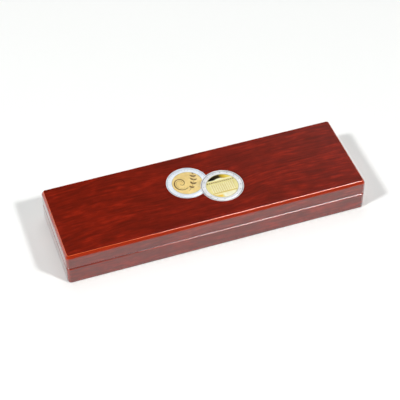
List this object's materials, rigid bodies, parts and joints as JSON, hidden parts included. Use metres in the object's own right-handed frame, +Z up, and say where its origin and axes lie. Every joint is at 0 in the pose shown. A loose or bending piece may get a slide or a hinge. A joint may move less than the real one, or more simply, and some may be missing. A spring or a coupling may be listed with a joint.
{
  "type": "hinged coin presentation case",
  "caption": "Slim hinged presentation case in red-brown lacquered wood, with a velour tray that holds a row of round coin capsules under a padded lid.",
  "frame": {"origin": "bottom centre of the closed case, at the underside of its felt foot", "axes": "+X along the case to the right, +Y towards the hinged back, +Z up; the front, which opens, faces -Y"},
  "size_m": [0.24, 0.075, 0.0284],
  "materials": {
    "lacquered_wood": "high-gloss lacquer over mahogany-red grain",
    "foot_felt": "dark felt",
    "tray_velour": "black velour",
    "lid_satin": "ivory satin",
    "foam": "open-cell foam",
    "grey_board": "grey bookbinder's board",
    "magnet_nickel": "nickel-plated",
    "hinge_brass": "polished brass",
    "capsule_clear": "clear polystyrene",
    "emblem_coin_left": "foil print, silver ring and gold core",
    "emblem_coin_right": "foil print, silver ring and gold core"
  },
  "bodies": {
    "base": {"base_front_rail": "lacquered_wood", "base_back_rail": "lacquered_wood", "base_left_rail": "lacquered_wood", "base_right_rail": "lacquered_wood", "base_panel": "lacquered_wood", "base_felt": "foot_felt", "base_liner_front": "tray_velour", "base_liner_back": "tray_velour", "base_liner_left": "tray_velour", "base_liner_right": "tray_velour", "tray_foam": "foam", "tray_floor_board": "grey_board", "recess_floor_velour": "tray_velour", "tray_board": "grey_board", "tray_velour": "tray_velour", "base_magnets": "magnet_nickel", "hinge_screws_base": "hinge_brass", "hinge_left_base_leaf": "hinge_brass", "hinge_right_base_leaf": "hinge_brass", "hinge_left_pin": "hinge_brass", "hinge_right_pin": "hinge_brass"},
    "lid": {"lid_front_rail": "lacquered_wood", "lid_back_rail": "lacquered_wood", "lid_left_rail": "lacquered_wood", "lid_right_rail": "lacquered_wood", "lid_panel": "lacquered_wood", "lid_liner_front": "lid_satin", "lid_liner_back": "lid_satin", "lid_liner_left": "lid_satin", "lid_liner_right": "lid_satin", "lid_pad_board": "grey_board", "lid_pad_foam": "foam", "lid_pad_cover": "lid_satin", "lid_magnets": "magnet_nickel", "hinge_screws_lid": "hinge_brass", "hinge_left_lid_leaf": "hinge_brass", "hinge_right_lid_leaf": "hinge_brass", "emblem_coin_left": "emblem_coin_left", "emblem_coin_right": "emblem_coin_right"},
    "capsule_1": {"capsule_1_base": "capsule_clear", "capsule_1_cover": "capsule_clear"},
    "capsule_2": {"capsule_2_base": "capsule_clear", "capsule_2_cover": "capsule_clear"},
    "capsule_3": {"capsule_3_base": "capsule_clear", "capsule_3_cover": "capsule_clear"},
    "capsule_4": {"capsule_4_base": "capsule_clear", "capsule_4_cover": "capsule_clear"},
    "capsule_5": {"capsule_5_base": "capsule_clear", "capsule_5_cover": "capsule_clear"}
  },
  "joints": [
    {"name": "lid_hinge", "type": "hinge", "parent": "base", "child": "lid", "pos_m": [0, 0.0358, 0.0152], "axis": [-1, 0, 0], "range_deg": [0, 100]},
    {"name": "capsule_1_lift", "type": "slide", "parent": "base", "child": "capsule_1", "axis": [0, 0, 1], "range_m": [0, 0.0045]},
    {"name": "capsule_2_lift", "type": "slide", "parent": "base", "child": "capsule_2", "axis": [0, 0, 1], "range_m": [0, 0.0045]},
    {"name": "capsule_3_lift", "type": "slide", "parent": "base", "child": "capsule_3", "axis": [0, 0, 1], "range_m": [0, 0.0045]},
    {"name": "capsule_4_lift", "type": "slide", "parent": "base", "child": "capsule_4", "axis": [0, 0, 1], "range_m": [0, 0.0045]},
    {"name": "capsule_5_lift", "type": "slide", "parent": "base", "child": "capsule_5", "axis": [0, 0, 1], "range_m": [0, 0.0045]}
  ]
}
